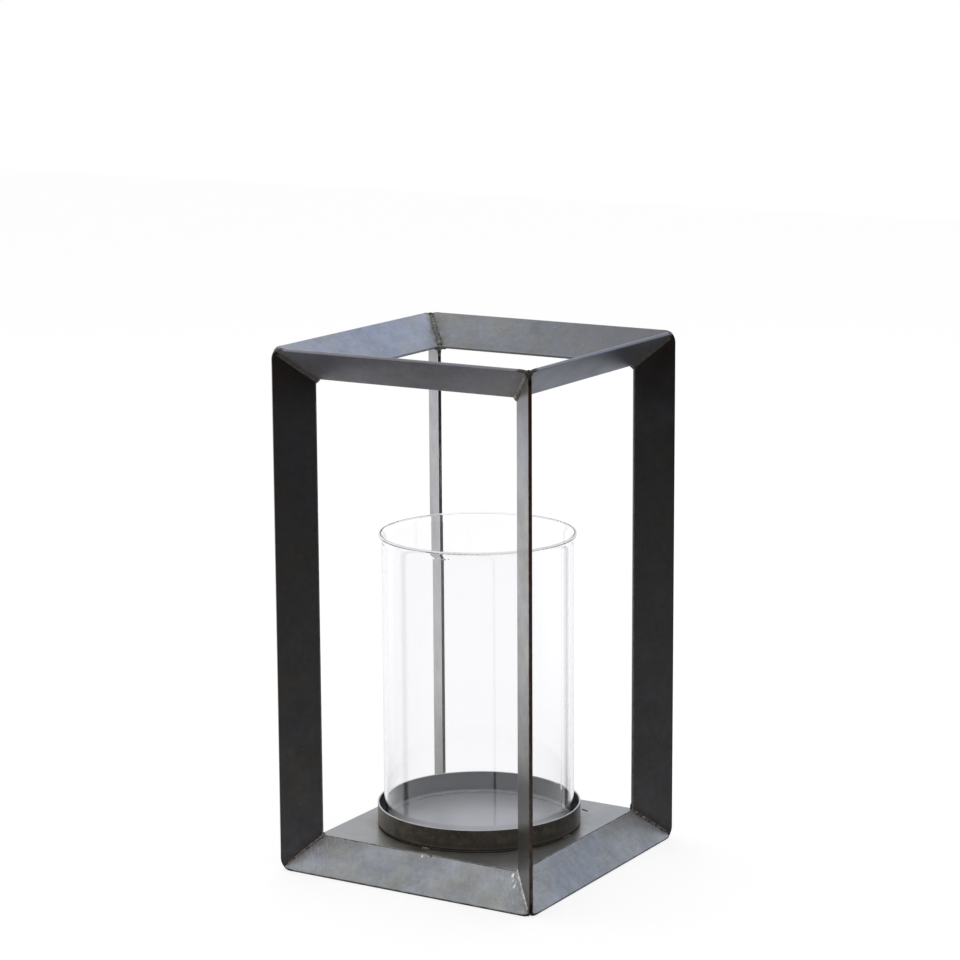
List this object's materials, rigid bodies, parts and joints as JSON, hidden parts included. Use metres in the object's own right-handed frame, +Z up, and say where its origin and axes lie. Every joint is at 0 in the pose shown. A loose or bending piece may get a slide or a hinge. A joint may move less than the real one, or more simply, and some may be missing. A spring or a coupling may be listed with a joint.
{
  "type": "candle lantern",
  "caption": "Square open-frame candle lantern: mitred flat steel bars, a base plate with a round pan, and a loose open glass tube that lifts out through the top.",
  "frame": {"origin": "on the standing surface, under the middle of the square frame", "axes": "+Z up; -Y is the front side, which the picture shows on the left of the near post; +X is the side on its right"},
  "size_m": [0.2014, 0.2014, 0.365],
  "materials": {
    "flat_bar_steel": "hot-rolled flat bar, mill scale left on and oiled",
    "weld_steel": "weld metal, brushed and dressed by hand, heat tinted",
    "base_sheet_steel": "rolled sheet, oiled",
    "pan_steel": "pressed sheet, oiled, brown heat tint at the foot",
    "clear_glass": "clear drawn tube, fire-polished lip"
  },
  "bodies": {
    "frame": {"bottom_rail_front": "flat_bar_steel", "bottom_rail_right": "flat_bar_steel", "bottom_rail_back": "flat_bar_steel", "bottom_rail_left": "flat_bar_steel", "top_rail_front": "flat_bar_steel", "top_rail_right": "flat_bar_steel", "top_rail_back": "flat_bar_steel", "top_rail_left": "flat_bar_steel", "post_front_left": "flat_bar_steel", "post_front_right": "flat_bar_steel", "post_back_right": "flat_bar_steel", "post_back_left": "flat_bar_steel", "corner_weld_bottom_front_left": "weld_steel", "corner_weld_bottom_front_right": "weld_steel", "corner_weld_bottom_back_right": "weld_steel", "corner_weld_bottom_back_left": "weld_steel", "corner_weld_top_front_left": "weld_steel", "corner_weld_top_front_right": "weld_steel", "corner_weld_top_back_right": "weld_steel", "corner_weld_top_back_left": "weld_steel", "plate_stitch_welds": "weld_steel", "pan_tack_welds": "weld_steel", "base_plate": "base_sheet_steel", "candle_pan": "pan_steel"},
    "glass": {"glass_chimney": "clear_glass"}
  },
  "joints": [
    {"name": "glass_lift", "type": "slide", "parent": "frame", "child": "glass", "axis": [0, 0, 1], "range_m": [0, 0.35]}
  ]
}
